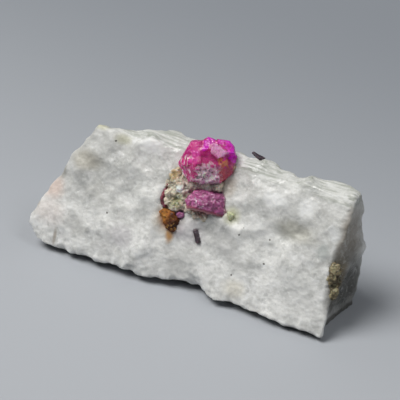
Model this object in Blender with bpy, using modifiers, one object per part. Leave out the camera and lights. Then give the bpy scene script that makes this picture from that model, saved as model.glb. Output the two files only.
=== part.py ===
"""Ruby in matrix: a loose block of white marble with two rubies and some small grains on it.

Metres, +Z up, Z = 0 is the surface that the stone rests on. X runs along the stone, and the
face that carries the rubies looks towards -Y and leans back. Lists of places are in millimetres.
"""

import math

import bmesh
import bpy
import numpy as np
from mathutils import Matrix, Vector, noise

MM = 0.001

# Driving dimensions, in millimetres
GAP = 0.3                # what each piece keeps clear of its neighbours
MARBLE_VOXEL = 0.45      # size of the marble's first, even mesh
MARBLE_TRIANGLES = 5200  # what the marble is thinned to, before its sockets are cut
GRAIN_VOXEL = 0.2        # size of the first mesh of a crust or a grain
EASING = 3               # rounds of smoothing after a surface is raised, against single sharp points
WELD = 0.001             # corners this close are one corner
WAVE_LENGTH = 9.0        # size of the marble's slow waves
WAVE_HEIGHT = 0.35
WIDE_FACE = 8.0          # width of the larger faces that the marble is broken in
FRONT_RELIEF = 0.25      # height of those faces, as a share of their lean, on the front
BACK_RELIEF = 0.45       # and on the back and the left end
CLEAVAGE_FACE = 3.6      # width of the smaller faces, those of single calcite grains
CLEAVAGE_RELIEF = 0.30
LEDGE_HEIGHT = 0.30      # height of the ledges along the top
GRAIN_WAVE = 0.12        # roughness of a crust or a grain: soft,
GRAIN_FACE = 0.9         # and in small broken faces this wide
GRAIN_RELIEF = 0.14
BROKEN_TILT = 0.6        # how steeply the faces of a broken surface lean
BROKEN_BOWL = 0.9        # how much each face rises towards its rim
BROKEN_MEAN = 0.180      # mean height of a broken surface, as a share of its face's width
SOLE_DEPTH = 1.4         # how far the uncut stone reaches below its resting plane
PATTERN_START = Vector((0, 0, -1.3))  # which part of the endless noise pattern the stone shows
CRYSTAL_TURN = math.radians(30)  # the rubies' six-sided ends look this far to the right of -Y
CRYSTAL_LEAN = math.radians(35)  # and this far up

# Guide lines of the marble, each from the left end to the right end (x, y, z)
FOOT = [
    (-32.9, -10.0, 1.9), (-28.0, -10.2, 1.9), (-25.4, -9.5, 1.9), (-22.2, -10.0, 1.9),
    (-16.1, -10.4, 1.9), (-10.6, -10.0, 1.9), (-8.3, -9.1, 1.9), (-5.3, -9.3, 1.9), (-2.9, -8.6, 1.9),
    (2.1, -7.6, 1.9), (4.6, -6.7, 2.0), (7.6, -8.3, 1.8), (11.0, -8.8, 1.8), (13.4, -8.1, 1.8),
    (18.9, -8.3, 1.7), (21.9, -8.9, 1.7), (26.4, -8.5, 1.5), (29.4, -8.8, 1.4), (33.3, -8.2, 1.3),
]
SHIN = [
    (-34.8, -8.7, 4.9), (-28.0, -8.9, 4.9), (-18.0, -8.7, 4.9), (-8.0, -8.2, 4.9), (-2.0, -7.2, 4.9),
    (2.0, -6.4, 4.9), (6.5, -6.3, 4.9), (12.0, -6.6, 4.9), (22.0, -6.4, 4.9), (34.3, -6.6, 4.9),
]
BELLY = [
    (-33.4, -5.9, 10.1), (-28.0, -6.0, 10.1), (-18.0, -5.9, 10.1), (-8.0, -5.2, 10.1), (-2.0, -4.6, 10.1),
    (2.0, -4.0, 10.1), (6.5, -3.7, 10.1), (12.0, -3.7, 10.1), (22.0, -3.5, 10.1), (32.8, -3.7, 10.3),
]
CHEST = [
    (-31.2, -2.9, 15.5), (-26.0, -3.2, 15.5), (-18.0, -3.1, 15.5), (-8.0, -2.4, 15.5),
    (0.0, -1.7, 15.5), (6.5, -1.0, 15.5), (12.0, -0.8, 15.5), (22.0, -0.8, 15.5), (31.7, -0.9, 15.1),
]
SHOULDER = [
    (-28.4, -0.2, 20.5), (-24.0, -0.6, 20.5), (-18.0, -0.6, 20.5), (-8.0, 0.4, 20.5),
    (0.0, 1.6, 20.5), (6.5, 2.3, 20.5), (12.0, 1.6, 20.5), (22.0, 1.7, 20.5), (32.9, 1.7, 20.5),
]
BROW = [
    (-24.2, 2.6, 25.5), (-21.6, 2.4, 25.0), (-18.8, 1.5, 24.2), (-16.5, 1.5, 23.6), (-14.7, 1.7, 24.2),
    (-12.9, 2.5, 25.1), (-11.6, 3.2, 25.6), (-9.9, 3.3, 25.2), (-8.3, 3.4, 24.8), (-6.0, 4.2, 24.7),
    (-2.0, 5.3, 24.7), (2.0, 6.2, 24.8), (6.4, 6.8, 24.8), (9.0, 5.7, 24.7), (11.7, 4.8, 24.7),
    (14.9, 4.4, 24.7), (18.9, 4.6, 24.7), (21.3, 5.3, 24.9), (23.6, 6.0, 25.0), (27.0, 5.5, 24.9),
    (29.5, 5.6, 25.0), (32.9, 5.0, 25.3),
]
CREST = [
    (-24.0, 3.3, 25.8), (-22.0, 3.6, 25.5), (-19.5, 4.6, 25.6), (-15.8, 5.4, 25.6), (-12.9, 6.8, 25.7),
    (-9.3, 8.1, 25.7), (-5.5, 8.0, 25.7), (-3.4, 8.9, 25.7), (-1.0, 9.6, 26.8), (1.8, 9.8, 25.9),
    (5.1, 8.8, 25.7), (8.5, 8.4, 25.8), (12.5, 8.8, 25.8), (16.8, 8.2, 25.7), (19.2, 7.5, 25.7),
    (22.7, 7.8, 25.7), (25.3, 8.9, 25.8), (28.5, 9.1, 25.8), (31.8, 8.1, 25.8), (33.4, 6.9, 25.5),
]
BACK_TOP = [
    (-24.6, 4.0, 23.9), (-16.0, 6.6, 23.7), (-8.0, 8.5, 23.7), (-1.0, 9.4, 23.9), (6.0, 8.9, 23.7),
    (14.0, 9.1, 23.5), (20.0, 8.2, 23.7), (27.0, 9.4, 23.7), (33.6, 7.6, 23.3),
]
BACK_HIGH = [
    (-26.8, 4.6, 18.3), (-22.0, 6.2, 18.3), (-14.0, 7.8, 17.7), (-6.0, 8.8, 18.3), (0.0, 8.6, 17.9),
    (6.0, 8.8, 18.7), (14.0, 9.3, 17.9), (22.0, 8.8, 18.1), (28.0, 9.2, 18.3), (33.7, 8.6, 18.3),
]
BACK_LOW = [
    (-30.0, 4.0, 8.7), (-24.0, 6.6, 8.3), (-14.0, 9.0, 8.7), (-4.0, 9.3, 8.1), (6.0, 9.4, 8.7),
    (16.0, 8.8, 8.3), (26.0, 9.4, 8.5), (33.8, 8.8, 8.7),
]
HEEL = [
    (-30.8, 2.6, 2.5), (-24.0, 5.2, 2.3), (-14.0, 7.7, 2.6), (-4.0, 8.8, 2.2), (6.0, 8.4, 2.5),
    (16.0, 7.6, 2.3), (26.0, 8.0, 2.6), (34.3, 6.6, 2.1),
]
SOLE_BACK = [
    (-28.6, 1.8, -SOLE_DEPTH), (-14.0, 6.0, -SOLE_DEPTH), (6.0, 6.8, -SOLE_DEPTH),
    (20.0, 6.4, -SOLE_DEPTH), (33.2, 5.4, -SOLE_DEPTH),
]
SOLE_FRONT = [
    (-29.8, -5.6, -SOLE_DEPTH), (-20.0, -5.6, -SOLE_DEPTH), (-8.0, -4.4, -SOLE_DEPTH),
    (5.0, -2.4, -SOLE_DEPTH), (18.0, -3.4, -SOLE_DEPTH), (32.0, -3.8, -SOLE_DEPTH),
]
GUIDES = [
    FOOT, SHIN, BELLY, CHEST, SHOULDER, BROW, CREST, BACK_TOP, BACK_HIGH, BACK_LOW, HEEL,
    SOLE_BACK, SOLE_FRONT,
]
LEFT_END_MIDDLE = (-30.6, -1.0, 12.3)
RIGHT_END_MIDDLE = (32.8, 1.6, 13.8)
STONE_MIDDLE = (1.5, 12.8)    # y and z of the line through the stone's middle
STONE_MIDDLE_REACH = 22.0     # how far that line runs to the left and right
STATIONS = 90                 # cross-sections from end to end
ROWS = 8                      # steps from one guide line to the next

# Bumps (positive) and dents (negative) of the marble: (x, y, z), reach along x, y, z, and height
LUMPS = [
    # Hump behind the large ruby, and the rock that holds it
    ((-0.6, 8.2, 25.7), (2.2, 2.4, 2.0), 0.5),
    ((0.7, 4.6, 23.9), (4.5, 3.0, 2.5), 0.7),
    # Worn and raised places of the crest
    ((-9.6, 7.2, 26.3), (2.0, 2.5, 1.5), -1.3),
    ((-16.7, 4.6, 25.8), (2.4, 2.0, 1.5), 0.6),
    ((-3.5, 7.2, 26.0), (2.0, 2.0, 1.5), 0.6),
    ((17.6, 7.8, 25.8), (2.0, 2.0, 1.5), 0.9),
    ((27.7, 8.6, 25.8), (2.4, 2.0, 1.5), 0.6),
    ((22.3, 7.6, 26.3), (2.5, 2.5, 1.5), -0.7),
    # Bright peak and saddle of the left brow
    ((-11.2, 2.8, 25.4), (2.0, 2.0, 1.2), 0.5),
    ((-16.2, 1.2, 23.3), (2.0, 2.0, 1.5), -0.5),
    # Hollows of the front face's left half
    ((-23.8, -1.3, 19.5), (2.4, 2.0, 1.8), -0.6),
    ((-29.8, -2.2, 15.1), (0.9, 1.5, 1.3), -0.5),
    ((-23.1, -7.4, 7.1), (2.4, 2.0, 1.6), -0.3),
    ((-13.1, -6.7, 7.7), (2.0, 2.0, 1.6), -0.3),
    # Trough below the rubies, with the step to its right
    ((-2.9, -6.0, 7.5), (2.6, 2.0, 2.2), -0.5),
    ((0.4, -6.0, 5.1), (2.4, 2.4, 2.6), -0.7),
    ((6.0, -6.0, 4.9), (2.6, 2.0, 2.2), 0.5),
    # Long bulge under the right brow, and the long dent below it
    ((15.9, 2.5, 21.9), (3.5, 2.5, 1.8), 0.5),
    ((22.1, 3.2, 22.5), (3.5, 2.5, 1.8), 0.5),
    ((27.3, 3.6, 22.7), (3.0, 2.5, 1.8), 0.4),
    ((20.2, 0.1, 16.6), (2.4, 2.0, 1.5), -0.5),
    ((23.5, 0.7, 18.3), (2.4, 2.0, 1.5), -0.6),
    ((26.5, 1.6, 20.1), (2.2, 2.0, 1.5), -0.4),
    # Right end: hollow upper face, the pocket, and the ridge between the pocket and the back
    ((32.2, 0.2, 17.5), (2.0, 2.6, 2.8), -0.3),
    ((31.4, -1.9, 13.7), (1.6, 1.6, 1.4), -0.4),
    ((32.7, -1.4, 12.7), (1.8, 1.3, 1.6), -1.0),
    ((33.3, -2.2, 9.7), (1.8, 1.3, 2.0), -1.4),
    ((33.4, 1.0, 10.7), (1.6, 1.0, 3.6), 0.4),
    ((33.6, 9.4, 9.1), (1.4, 1.4, 1.0), 0.5),
    # Back and left end
    ((-15.0, 9.0, 16.3), (7.0, 3.0, 5.0), -0.8),
    ((10.0, 10.0, 12.3), (8.0, 3.0, 4.0), -0.8),
    ((24.0, 10.0, 18.3), (5.0, 3.0, 4.0), 0.4),
    ((-31.0, 0.5, 13.3), (3.0, 3.0, 5.0), -0.8),
]

# Large ruby, in its own axes (across, up, out of the rock) from its middle
RUBY_MAIN_PLACE = (1.35, 3.45, 25.2)
RUBY_MAIN_BLOCKS = [
    # Main block: a six-sided barrel. Sides: direction in degrees, and reach
    dict(
        sides=[(90, 3.9), (30, 5.4), (-14, 5.6), (-49, 5.4), (-90, 4.4), (-146, 5.4), (149, 4.6)],
        widest_at=0.3, front_slope=0.25, back_slope=0.45, back=-3.2,
        ends=[
            ((0.00, 0.00, 1.00), (0.0, 0.0, 3.0)),
            ((-0.50, 0.30, 0.81), (-2.7, 1.8, 2.4)),
            ((-0.05, 0.55, 0.83), (0.3, 2.9, 2.4)),
            ((0.05, -0.50, 0.86), (-0.4, -3.0, 2.2)),
            ((-0.70, -0.35, 0.62), (-4.5, -1.3, 1.2)),
            ((0.72, 0.05, 0.69), (4.8, 0.2, 1.7)),
            ((0.40, -0.45, 0.80), (3.4, -1.6, 2.4)),
            ((0.45, -0.75, 0.48), (3.4, -3.6, 1.3)),
            ((0.42, 0.60, 0.68), (3.9, 3.0, 1.5)),
        ],
    ),
    # Top block, with the bright violet face
    dict(
        sides=[(65, 4.25), (122, 3.75), (180, 1.7), (-90, -0.3), (0, 2.4)],
        widest_at=0.6, front_slope=0.10, back_slope=0.30, back=-1.8,
        ends=[((-0.08, 0.50, 0.86), (0.3, 2.9, 2.75)), ((0.0, -0.06, 1.0), (0.3, 1.0, 3.15))],
    ),
    # Frosted three-cornered plate
    dict(
        sides=[(55, 3.4), (-60, 0.97), (-135, -1.39), (167, -0.28)],
        widest_at=1.0, front_slope=0.0, back_slope=0.0, back=0.5,
        ends=[((0.16, 0.10, 0.98), (2.0, 1.5, 3.55))],
    ),
    # Right block, dark and glassy
    dict(
        sides=[(81, 4.4), (38, 5.85), (9, 5.75), (-10, 5.5), (-90, -0.9), (180, -1.9)],
        widest_at=0.6, front_slope=0.20, back_slope=0.40, back=-2.0,
        ends=[((0.34, 0.42, 0.84), (3.9, 2.6, 2.2)), ((-0.05, 0.12, 0.99), (2.2, 2.6, 2.75))],
    ),
    # Left block, rose pink
    dict(
        sides=[(97, 4.0), (149, 4.7), (180, 5.2), (-90, 1.4), (0, -0.8)],
        widest_at=0.5, front_slope=0.15, back_slope=0.40, back=-1.8,
        ends=[((-0.46, 0.16, 0.87), (-2.7, 1.5, 2.6)), ((0.22, 0.18, 0.96), (-1.2, 1.6, 2.98))],
    ),
    # Lower block, worn
    dict(
        sides=[(-90, 4.7), (-146, 5.2), (-115, 4.9), (-45, 5.2), (90, -1.3)],
        widest_at=0.4, front_slope=0.20, back_slope=0.50, back=-2.2,
        ends=[
            ((0.06, -0.36, 0.93), (0.2, -2.8, 2.5)),
            ((0.50, -0.30, 0.81), (2.8, -2.6, 2.1)),
            ((-0.68, -0.35, 0.64), (-4.4, -1.3, 1.2)),
        ],
    ),
]

# Small ruby, in the same way
RUBY_LOWER_PLACE = (3.1, -0.1, 17.6)
RUBY_LOWER_BLOCKS = [
    dict(
        sides=[
            (-168, 3.95), (139, 3.5), (96, 2.7), (78, 2.5), (35, 3.75), (5, 3.95), (-37, 4.5), (-104, 2.0),
        ],
        widest_at=0.8, front_slope=0.35, back_slope=0.40, back=-2.6,
        ends=[
            ((-0.35, 0.12, 0.93), (-2.0, 0.4, 1.8)),
            ((0.00, 0.30, 0.95), (0.3, 1.2, 2.1)),
            ((0.30, -0.05, 0.95), (2.4, 0.0, 2.1)),
            ((-0.05, -0.35, 0.93), (0.5, -1.0, 2.0)),
        ],
    ),
    dict(
        sides=[(-12, 0.9), (50, 1.9), (115, 2.5), (170, 2.4), (-110, 1.2)],
        widest_at=1.0, front_slope=0.4, back_slope=0.2, back=-1.0,
        ends=[((-0.16, 0.16, 0.97), (-0.6, 0.5, 2.25))],
    ),
]

# Crusts and grains: masses of small round grains, (x, y, z) and radius
MICA_CRUST = [
    ((-4.7, 1.6, 21.3), 0.9), ((-4.5, 0.9, 20.2), 1.2), ((-4.9, 0.1, 18.7), 1.2),
    ((-4.9, -0.5, 17.4), 1.2), ((-4.6, -1.1, 16.2), 1.1), ((-3.4, -1.4, 15.6), 1.1),
    ((-3.2, 0.0, 17.9), 1.4), ((-2.9, 0.8, 19.7), 1.3), ((-1.9, -0.9, 16.2), 1.1),
    ((-1.5, 0.1, 17.8), 1.3), ((-1.4, 1.1, 19.8), 1.2), ((0.5, 1.4, 20.2), 1.3),
    ((2.4, 1.9, 20.5), 1.3), ((4.2, 2.4, 20.8), 1.2), ((-0.2, -1.1, 15.6), 0.9),
    ((1.6, -1.3, 15.2), 0.8), ((3.3, -1.2, 15.0), 0.7),
]
IRON_GRAIN = [
    ((-5.3, -2.8, 13.9), 0.6), ((-4.7, -2.7, 14.0), 0.8), ((-4.2, -2.9, 13.5), 1.0),
    ((-3.5, -2.8, 13.7), 0.9), ((-3.6, -3.1, 12.9), 1.2), ((-2.7, -2.9, 12.9), 1.0),
    ((-3.0, -3.5, 12.1), 1.0), ((-2.5, -3.7, 11.6), 0.7),
]
RUBY_SLIVER = [
    ((-5.4, 0.0, 19.6), 0.28), ((-5.6, -0.4, 18.9), 0.36), ((-5.8, -0.8, 18.1), 0.44),
    ((-5.9, -1.2, 17.3), 0.54), ((-5.9, -1.6, 16.5), 0.64), ((-5.7, -1.9, 15.7), 0.64),
    ((-5.2, -2.1, 15.2), 0.45),
]
GREEN_TUFT = [
    ((8.5, -0.4, 17.0), 0.45), ((8.9, -0.5, 16.5), 0.50), ((9.2, -0.3, 16.8), 0.45),
    ((8.9, -0.8, 16.1), 0.35),
]
POCKET_CRUST = [
    ((32.4, -1.3, 13.5), 0.8), ((32.5, -1.5, 12.5), 1.0), ((32.6, -1.9, 11.4), 1.0),
    ((32.7, -2.3, 10.3), 1.0), ((32.9, -2.6, 9.2), 0.9), ((33.1, -2.9, 8.2), 0.8),
    ((32.6, -0.6, 11.9), 0.7), ((32.9, -1.2, 9.9), 0.8),
]

# Flakes and the chip: flat blocks with cut corners, each with its own place and turn (degrees)
FRONT_FLAKE_SIDES = [(24, 0.52), (112, 1.35), (202, 0.50), (-66, 1.45), (66, 1.15), (-112, 1.25)]
FRONT_FLAKE_THICKNESS = 0.6
FRONT_FLAKE_PLACE = (2.8, -3.25, 11.3)
FRONT_FLAKE_TURN = (62, 0, 12)
TOP_FLAKE_SIDES = [(8, 0.50), (95, 1.45), (172, 0.50), (-88, 1.50), (52, 1.25), (-132, 1.30)]
TOP_FLAKE_THICKNESS = 0.35
TOP_FLAKE_PLACE = (9.9, 8.6, 26.05)
TOP_FLAKE_TURN = (10, 8, 75)
CHIP_SIDES = [(18, 0.75), (75, 0.60), (128, 0.75), (168, 0.95), (-145, 0.75), (-85, 0.60), (-35, 0.75)]
CHIP_THICKNESS = 0.9
CHIP_PLACE = (-1.5, -2.2, 14.3)


def point_on(guide, along):
    """The place on a guide line, where along runs from 0 at its left end to 1 at its right end."""
    x, y, z = np.array(guide).T
    here = x[0] + along * (x[-1] - x[0])
    return Vector((here, np.interp(here, x, y), np.interp(here, x, z)))


def marble_loft():
    """The stone's plain body: cross-sections through all the guide lines, closed by two end caps."""
    shape = bmesh.new()
    rings = []
    for station in range(STATIONS + 1):
        corners = [point_on(guide, station / STATIONS) for guide in GUIDES]
        ring = []
        for corner, following in zip(corners, corners[1:] + corners[:1]):
            ring += [shape.verts.new(corner.lerp(following, row / ROWS) * MM) for row in range(ROWS)]
        rings.append(ring)
    for ring, beside in zip(rings, rings[1:]):
        for i in range(len(ring)):
            j = (i + 1) % len(ring)
            shape.faces.new((ring[i], beside[i], beside[j], ring[j]))
    for ring, middle in ((rings[0], LEFT_END_MIDDLE), (rings[-1], RIGHT_END_MIDDLE)):
        tip = shape.verts.new(Vector(middle) * MM)
        for i in range(len(ring)):
            shape.faces.new((ring[i], ring[(i + 1) % len(ring)], tip))
    bmesh.ops.recalc_face_normals(shape, faces=shape.faces)
    return shape


def lump_height(place):
    """How far the named bumps and dents raise the stone at this place."""
    height = 0.0
    for middle, reach, rise in LUMPS:
        away = sum(((p - m) / r) ** 2 for p, m, r in zip(place, middle, reach))
        height += rise * math.exp(-away)
    return height


def lean_of_face(centre):
    """Which way one face of a broken surface leans. It depends only on where the face lies."""
    return BROKEN_TILT * (noise.cell_vector(centre * 97.0) * 2 - Vector((1, 1, 1)))


def broken_height(place, width):
    """A broken surface: flat faces about this wide, which meet in ridges and grooves."""
    distances, centres = noise.voronoi(place / width)
    faces = [
        (place / width - centre).dot(lean_of_face(centre)) + BROKEN_BOWL * distance ** 2
        for distance, centre in zip(distances, centres)
    ]
    return width * (min(faces) - BROKEN_MEAN)


def ramp(value, low, high):
    """0 below low, 1 above high, and straight between."""
    return min(1.0, max(0.0, (value - low) / (high - low)))


def marble_height(place):
    """What is added to the plain body at this place, along its normal."""
    x, y, z = place
    pattern = place + PATTERN_START
    waves = WAVE_HEIGHT * noise.fractal(pattern / WAVE_LENGTH, 1.0, 2.0, 3)
    # The back and the left end are broken more coarsely than the front
    coarse = max(ramp(y, 5.0, 8.0) * ramp(-x, -31.0, -27.0), ramp(-x, 29.0, 32.0))
    relief = FRONT_RELIEF + (BACK_RELIEF - FRONT_RELIEF) * coarse
    wide_faces = relief * broken_height(pattern, WIDE_FACE)
    small_faces = CLEAVAGE_RELIEF * broken_height(pattern + Vector((40, 0, 0)), CLEAVAGE_FACE)
    # The top is split in ledges along the stone
    bands = noise.noise(Vector((0.09 * pattern.x, 0.75 * pattern.y, 0.75 * pattern.z)))
    ledges = LEDGE_HEIGHT * ramp(z, 23.8, 25.3) * bands
    return lump_height(place) + waves + wide_faces + small_faces + ledges


def grain_height(place):
    """Roughness of a crust or a grain."""
    return GRAIN_WAVE * noise.noise(place * 1.9) + GRAIN_RELIEF * broken_height(place, GRAIN_FACE)


def evaluated_mesh(obj):
    """The object's mesh with its modifiers applied."""
    bpy.context.view_layer.update()
    return bpy.data.meshes.new_from_object(obj.evaluated_get(bpy.context.evaluated_depsgraph_get()))


def held(mesh, collection=None):
    """A plain object that holds the mesh."""
    obj = bpy.data.objects.new(mesh.name, mesh)
    (collection or bpy.context.scene.collection).objects.link(obj)
    return obj


def mesh_of(shape):
    """The mesh of a bmesh, which is freed."""
    mesh = bpy.data.meshes.new("shape")
    shape.to_mesh(mesh)
    shape.free()
    return mesh


def evenly_meshed(shape, voxel):
    """The same solid on an even mesh. The voxel remesh also fuses shapes that overlap."""
    holder = held(mesh_of(shape))
    remesh = holder.modifiers.new("even", "REMESH")
    remesh.mode = "VOXEL"
    remesh.voxel_size = voxel * MM
    even = evaluated_mesh(holder)
    bpy.data.objects.remove(holder, do_unlink=True)
    return even


def out_of_stone(vertex):
    """The way out from the line through the stone's middle. It turns evenly round sharp corners."""
    x, y, z = vertex.co / MM
    middle = Vector((min(STONE_MIDDLE_REACH, max(-STONE_MIDDLE_REACH, x)), *STONE_MIDDLE))
    return (vertex.co / MM - middle).normalized()


def out_of_grain(vertex):
    """The way out of a small grain, along its surface normal."""
    return vertex.normal


def raised(mesh, height, way_out):
    """Moves every vertex out by height(place), both in millimetres, and then eases the surface."""
    moved = [v.co + way_out(v) * height(v.co / MM) * MM for v in mesh.vertices]
    for vertex, place in zip(mesh.vertices, moved):
        vertex.co = place
    shape = bmesh.new()
    shape.from_mesh(mesh)
    for _ in range(EASING):
        bmesh.ops.smooth_vert(
            shape, verts=shape.verts, factor=0.5, use_axis_x=True, use_axis_y=True, use_axis_z=True)
    shape.to_mesh(mesh)
    shape.free()


def thinned(mesh, triangles):
    """The mesh reduced to about this many triangles."""
    mesh.calc_loop_triangles()
    holder = held(mesh)
    thin = holder.modifiers.new("thin", "DECIMATE")
    thin.ratio = min(1.0, triangles / len(mesh.loop_triangles))
    thin.use_collapse_triangulate = True
    light = evaluated_mesh(holder)
    bpy.data.objects.remove(holder, do_unlink=True)
    return light


def largest_piece(mesh):
    """The mesh without the loose chips that a cut can leave beside its main piece."""
    shape = bmesh.new()
    shape.from_mesh(mesh)
    shape.verts.ensure_lookup_table()
    unseen = set(shape.verts)
    pieces = []
    while unseen:
        edge_of_piece = [unseen.pop()]
        found = set(edge_of_piece)
        while edge_of_piece:
            vertex = edge_of_piece.pop()
            beside = {edge.other_vert(vertex) for edge in vertex.link_edges} - found
            found |= beside
            edge_of_piece += beside
        unseen -= found
        pieces.append(found)
    main = max(pieces, key=len)
    bmesh.ops.delete(shape, geom=[v for v in shape.verts if v not in main], context="VERTS")
    return mesh_of(shape)


def crystal_block(sides, widest_at, front_slope, back_slope, back, ends, grow=0.0):
    """A convex crystal: a cube cleaved by flat faces, all moved out by grow."""
    faces = [((0, 0, -1), (0, 0, back))]
    for angle, reach in sides:
        aside, along = math.cos(math.radians(angle)), math.sin(math.radians(angle))
        foot = (aside * reach, along * reach, widest_at)
        faces += [((aside, along, front_slope), foot), ((aside, along, -back_slope), foot)]
    shape = bmesh.new()
    bmesh.ops.create_cube(shape, size=30 * MM)
    for normal, point in faces + ends:
        normal = Vector(normal).normalized()
        cut = bmesh.ops.bisect_plane(
            shape, geom=shape.verts[:] + shape.edges[:] + shape.faces[:], clear_outer=True,
            plane_co=(Vector(point) + normal * grow) * MM, plane_no=normal,
        )
        rim = [item for item in cut["geom_cut"] if isinstance(item, bmesh.types.BMEdge)]
        bmesh.ops.contextual_create(shape, geom=rim)
    bmesh.ops.remove_doubles(shape, verts=shape.verts, dist=WELD * MM)
    bmesh.ops.recalc_face_normals(shape, faces=shape.faces)
    return mesh_of(shape)


def grown_together(blocks, grow=0.0):
    """Crystal blocks joined in one solid."""
    first, *others = [held(crystal_block(**block, grow=grow)) for block in blocks]
    for other in others:
        join = first.modifiers.new("join", "BOOLEAN")
        join.operation = "UNION"
        join.object = other
    solid = evaluated_mesh(first)
    for block in [first] + others:
        bpy.data.objects.remove(block, do_unlink=True)
    return solid


def grain_mass(grains, triangles, grow=0.0):
    """Round grains grown into one mass. It is rough where it isn't enlarged for a cutter."""
    shape = bmesh.new()
    for place, radius in grains:
        at = Matrix.Translation(Vector(place) * MM)
        bmesh.ops.create_icosphere(shape, subdivisions=3, radius=(radius + grow) * MM, matrix=at)
    mass = evenly_meshed(shape, GRAIN_VOXEL)
    if not grow:
        raised(mass, grain_height, out_of_grain)
    return thinned(mass, triangles)


def flat_block(sides, thickness):
    """A thin block in its own axes, for a flake or a chip."""
    return [dict(
        sides=sides, widest_at=0.0, front_slope=0.3, back_slope=0.1, back=-thickness,
        ends=[((0.1, 0.1, 1.0), (0, 0, thickness / 2))],
    )]


def finish(obj, colour, roughness, transmission=0.0, ior=1.5):
    """The object's own material."""
    material = bpy.data.materials.new(obj.name)
    material.use_nodes = True
    shader = material.node_tree.nodes["Principled BSDF"]
    shader.inputs["Base Color"].default_value = (*colour, 1)
    shader.inputs["Roughness"].default_value = roughness
    shader.inputs["Metallic"].default_value = 0.0
    shader.inputs["Transmission Weight"].default_value = transmission
    shader.inputs["IOR"].default_value = ior
    obj.data.materials.clear()
    obj.data.materials.append(material)


def smooth(obj, angle):
    """Shades the object smooth, with the edges sharper than this left sharp."""
    obj.data.shade_smooth()
    obj.data.set_sharp_from_angle(angle=math.radians(angle))


def piece(name, mesh, place=(0, 0, 0), turn=(0, 0, 0)):
    """A part of the specimen, at its place in millimetres."""
    mesh.name = name
    obj = held(mesh, parts)
    obj.location = Vector(place) * MM
    obj.rotation_euler = turn
    return obj


def cutter(name, mesh, place=(0, 0, 0), turn=(0, 0, 0)):
    """A helper that is cut out of other pieces and isn't part of the specimen."""
    mesh.name = name + "_socket"
    obj = held(mesh, cutters)
    obj.location = Vector(place) * MM
    obj.rotation_euler = turn
    obj.hide_render = True
    obj.display_type = "WIRE"
    return obj


def cut_out(mesh, others):
    """The mesh without the room that each of the others takes, as one piece."""
    whole = held(mesh)
    for other in others:
        cut = whole.modifiers.new(other.name, "BOOLEAN")
        cut.operation = "DIFFERENCE"
        cut.object = other
    rest = largest_piece(evaluated_mesh(whole))
    bpy.data.objects.remove(whole, do_unlink=True)
    return rest


def crystal(name, blocks, place, turn, colour, roughness, transmission):
    """A ruby or a flake, and the cutter that makes room for it."""
    obj = piece(name, grown_together(blocks), place, turn)
    finish(obj, colour, roughness, transmission, 1.77)
    return cutter(name, grown_together(blocks, GAP), place, turn)


def mass(name, grains, triangles, colour, roughness, neighbours):
    """A crust or a grain that leaves room for its neighbours, and the cutter that makes room for it."""
    obj = piece(name, cut_out(grain_mass(grains, triangles), neighbours))
    smooth(obj, 40)
    finish(obj, colour, roughness)
    return cutter(name, grain_mass(grains, triangles // 3, GAP))


for old in list(bpy.data.objects):
    bpy.data.objects.remove(old, do_unlink=True)

parts = bpy.data.collections.new("ruby_in_matrix")
cutters = bpy.data.collections.new("cutters")
for group in (parts, cutters):
    bpy.context.scene.collection.children.link(group)

# Crystals, chip and flakes
OUT_OF_FACE = (math.pi / 2 - CRYSTAL_LEAN, 0, CRYSTAL_TURN)
main_room = crystal(
    "ruby_main", RUBY_MAIN_BLOCKS, RUBY_MAIN_PLACE, OUT_OF_FACE, (0.45, 0.02, 0.20), 0.25, 0.6)
lower_room = crystal(
    "ruby_lower", RUBY_LOWER_BLOCKS, RUBY_LOWER_PLACE, OUT_OF_FACE, (0.40, 0.10, 0.22), 0.5, 0.2)
chip_room = crystal(
    "ruby_chip", flat_block(CHIP_SIDES, CHIP_THICKNESS), CHIP_PLACE, OUT_OF_FACE,
    (0.25, 0.05, 0.16), 0.4, 0.3)
front_flake_room = crystal(
    "graphite_flake_front", flat_block(FRONT_FLAKE_SIDES, FRONT_FLAKE_THICKNESS), FRONT_FLAKE_PLACE,
    [math.radians(angle) for angle in FRONT_FLAKE_TURN], (0.07, 0.05, 0.06), 0.35, 0.0)
top_flake_room = crystal(
    "graphite_flake_top", flat_block(TOP_FLAKE_SIDES, TOP_FLAKE_THICKNESS), TOP_FLAKE_PLACE,
    [math.radians(angle) for angle in TOP_FLAKE_TURN], (0.08, 0.08, 0.06), 0.4, 0.0)

# Crusts and grains
sliver_room = mass("ruby_sliver", RUBY_SLIVER, 220, (0.14, 0.02, 0.03), 0.4, [])
crust_room = mass(
    "mica_crust", MICA_CRUST, 1300, (0.36, 0.33, 0.24), 0.7,
    [main_room, lower_room, chip_room, sliver_room])
iron_room = mass(
    "iron_stained_grain", IRON_GRAIN, 420, (0.13, 0.05, 0.02), 0.7, [crust_room, chip_room, sliver_room])
tuft_room = mass("green_mica_tuft", GREEN_TUFT, 220, (0.25, 0.25, 0.12), 0.7, [lower_room])
pocket_room = mass("brown_pocket_crust", POCKET_CRUST, 520, (0.10, 0.09, 0.05), 0.8, [])

# Marble
body = evenly_meshed(marble_loft(), MARBLE_VOXEL)
raised(body, marble_height, out_of_stone)
ground = bmesh.new()
bmesh.ops.create_cube(ground, size=100 * MM, matrix=Matrix.Translation((0, 0, -50 * MM)))
sockets = [
    main_room, lower_room, chip_room, front_flake_room, top_flake_room, sliver_room, crust_room,
    iron_room, tuft_room, pocket_room,
]
marble = piece(
    "marble_matrix",
    cut_out(thinned(body, MARBLE_TRIANGLES), [cutter("ground", mesh_of(ground))] + sockets))
smooth(marble, 35)
finish(marble, (0.75, 0.74, 0.72), 0.5)
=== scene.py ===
"""Ruby in matrix: the finish of every surface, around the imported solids.

Objects are in metres. Places and sizes below are in millimetres, in the same frame: X runs along
the stone, the face with the rubies looks towards -Y, and Z = 0 is the surface it rests on.
"""

import math

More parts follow.
